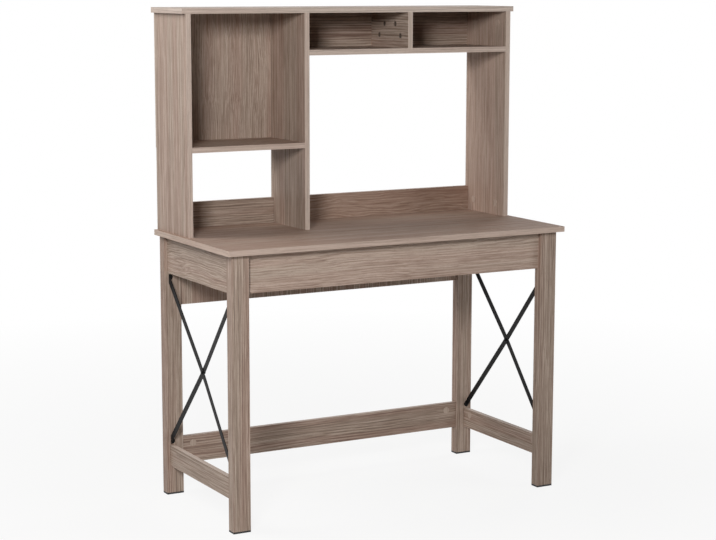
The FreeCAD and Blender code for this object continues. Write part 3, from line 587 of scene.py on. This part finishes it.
def make_world():
    """Weak light from all round, behind a white background."""
    world = bpy.data.worlds.new("studio")
    bpy.context.scene.world = world
    world.use_nodes = True
    tree = world.node_tree
    light = tree.nodes["Background"]
    light.inputs["Color"].default_value = WHITE
    light.inputs["Strength"].default_value = WORLD_LIGHT
    white = tree.nodes.new("ShaderNodeBackground")
    white.inputs["Color"].default_value = WHITE
    white.inputs["Strength"].default_value = WHITE_STRENGTH
    chosen = tree.nodes.new("ShaderNodeMixShader")
    tree.links.new(background_rays(tree), chosen.inputs[0])
    tree.links.new(light.outputs[0], chosen.inputs[1])
    tree.links.new(white.outputs[0], chosen.inputs[2])
    tree.links.new(chosen.outputs[0], tree.nodes["World Output"].inputs["Surface"])


def floor_paint():
    """Pale matt paint, which fades to the background's white away from the object."""
    shader = Shader("floor_white")
    shader.surface(color=FLOOR_COLOR, roughness=FLOOR_ROUGHNESS, shine=FLOOR_SHINE)
    distance = shader.node("ShaderNodeVectorMath", operation="LENGTH")
    shader.link(shader.object_place(), distance.inputs[0])
    away = distance.outputs["Value"]
    white_share = shader.spread(away, SHADOW_NEAR, SHADOW_FAR, NEAR_WHITE_SHARE, 1)
    white = shader.node("ShaderNodeEmission")
    white.inputs["Strength"].default_value = WHITE_STRENGTH
    chosen = shader.node("ShaderNodeMixShader")
    share = shader.math("MULTIPLY", background_rays(shader.tree), white_share)
    shader.link(share, chosen.inputs[0])
    shader.link(shader.principled.outputs[0], chosen.inputs[1])
    shader.link(white.outputs[0], chosen.inputs[2])
    shader.link(chosen.outputs[0], shader.tree.nodes["Material Output"].inputs["Surface"])
    return shader.material


def make_floor():
    """A round pale floor that keeps a faint shadow close to the object."""
    mesh = bpy.data.meshes.new("floor")
    angles = [math.tau * step / FLOOR_SIDES for step in range(FLOOR_SIDES)]
    rim = [(FLOOR_RADIUS * math.cos(angle), FLOOR_RADIUS * math.sin(angle), 0) for angle in angles]
    mesh.from_pydata(rim, [], [range(FLOOR_SIDES)])
    floor = bpy.data.objects.new("floor", mesh)
    bpy.context.scene.collection.objects.link(floor)
    mesh.materials.append(floor_paint())


def make_lamp(name, place, width, power):
    """A square softbox that points at the object."""
    data = bpy.data.lights.new(name, "AREA")
    data.shape = "SQUARE"
    data.size = width
    data.energy = power
    lamp = bpy.data.objects.new(name, data)
    lamp.location = place
    lamp.rotation_euler = (LAMP_AIM - Vector(place)).to_track_quat("-Z", "Y").to_euler()
    bpy.context.scene.collection.objects.link(lamp)


def make_lamps():
    """A key lamp to the left of the camera, and weaker ones left, right and behind."""
    for name, (place, width, power) in LAMPS.items():
        make_lamp(name, place, width, power)


def make_camera():
    """The photograph's camera, from its yaw, pitch and roll."""
    yaw = math.radians(CAMERA_YAW)
    pitch = math.radians(CAMERA_PITCH)
    roll = math.radians(CAMERA_ROLL)
    ahead = math.cos(pitch)
    forward = Vector((math.sin(yaw) * ahead, math.cos(yaw) * ahead, math.sin(pitch)))
    level = Vector((math.cos(yaw), -math.sin(yaw), 0))
    above = level.cross(forward)
    right = level * math.cos(roll) + above * math.sin(roll)
    up = above * math.cos(roll) - level * math.sin(roll)
    data = bpy.data.cameras.new("camera")
    data.sensor_width = SENSOR_WIDTH_MM
    data.lens = FOCAL_PIXELS * SENSOR_WIDTH_MM / PHOTO_WIDTH
    data.shift_x = (PHOTO_WIDTH / 2 - VIEW_CENTRE_X) / PHOTO_WIDTH
    data.shift_y = (VIEW_CENTRE_Y - PHOTO_HEIGHT / 2) / PHOTO_WIDTH
    data.clip_end = CAMERA_REACH
    camera = bpy.data.objects.new("camera", data)
    turned = Matrix((right, up, -forward)).transposed().to_4x4()
    camera.matrix_world = Matrix.Translation(CAMERA_PLACE) @ turned
    bpy.context.scene.collection.objects.link(camera)
    bpy.context.scene.camera = camera


dress_boards()
dress_fittings()
make_world()
make_floor()
make_lamps()
make_camera()
bpy.context.scene.view_settings.view_transform = "Standard"
